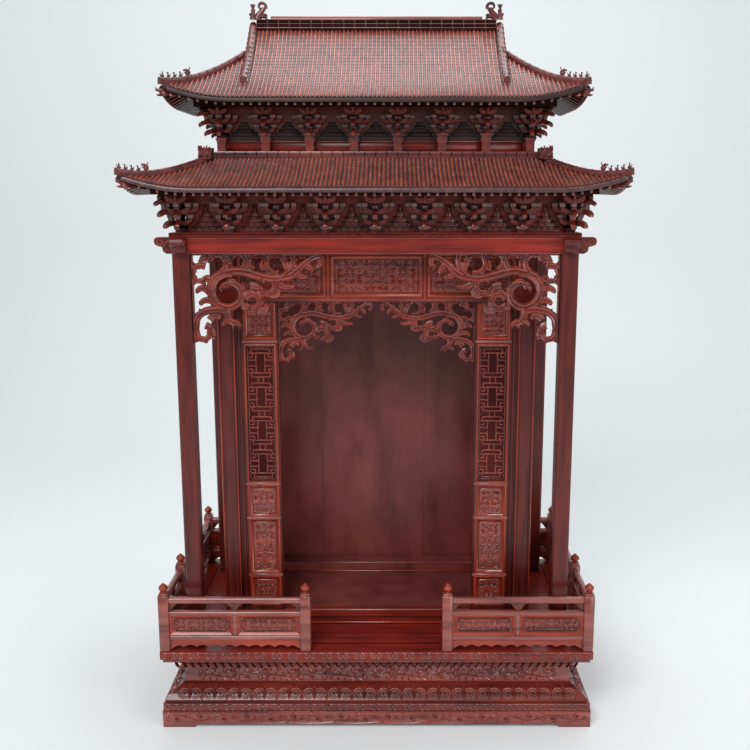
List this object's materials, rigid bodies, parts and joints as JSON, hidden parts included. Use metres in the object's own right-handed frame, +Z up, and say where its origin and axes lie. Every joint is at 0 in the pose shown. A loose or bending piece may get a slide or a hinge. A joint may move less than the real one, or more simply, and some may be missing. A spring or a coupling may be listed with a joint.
{
  "type": "buddhist shrine cabinet",
  "caption": "Carved hardwood household shrine cabinet: moulded plinth with railed deck, open niche between lattice leaves, four columns and a two-tier bracketed hip-and-gable roof.",
  "frame": {"origin": "middle of the underside of the plinth, on the surface it stands on", "axes": "+X to the cabinet's left as one faces out of it (right in a front view), +Y from the open front to the back, +Z up"},
  "size_m": [0.86, 0.51, 1.3315],
  "materials": {
    "carved": "carved rosewood, satin lacquer",
    "frame": "smooth rosewood, semi-gloss lacquer",
    "openwork": "pierced and carved rosewood, semi-gloss lacquer",
    "panel": "smooth dark rosewood boards, semi-gloss lacquer",
    "bracket": "carved rosewood, satin lacquer",
    "roof": "ribbed rosewood, glossy lacquer",
    "ridge": "carved rosewood, glossy lacquer"
  },
  "bodies": {
    "root": {"base_foot": "carved", "base_fret_band": "carved", "base_lotus_band": "carved", "base_waist": "carved", "base_cornice": "carved", "deck": "frame", "columns_front": "frame", "columns_rear": "frame", "long_beams": "frame", "cross_beams": "frame", "beam_plate": "frame", "beam_noses": "frame", "front_posts": "frame", "body_header": "frame", "leaf_left": "frame", "leaf_right": "frame", "railing_posts": "frame", "railing_front": "openwork", "railing_sides": "openwork", "railing_rear": "openwork", "leaf_lattices": "openwork", "front_spandrels": "openwork", "inner_spandrels": "openwork", "niche_sill": "panel", "niche_floor": "panel", "body_back": "panel", "back_step": "panel", "body_sides": "panel", "ceiling_board": "panel", "lower_frieze": "panel", "upper_base": "panel", "upper_wall": "panel", "gable_boards": "panel", "lower_brackets": "bracket", "lower_corner_brackets": "bracket", "upper_brackets": "bracket", "upper_corner_brackets": "bracket", "lower_purlin": "bracket", "upper_purlin": "bracket", "lower_roof_front": "roof", "lower_roof_rear": "roof", "lower_roof_ends": "roof", "upper_roof_front": "roof", "upper_roof_rear": "roof", "upper_roof_ends": "roof", "lower_hip_ridges": "ridge", "upper_hip_ridges": "ridge", "ridge_band": "ridge", "ridge_corner_blocks": "ridge", "gable_ridges": "ridge", "main_ridge": "ridge", "ridge_end_scrolls": "ridge"}
  },
  "joints": []
}
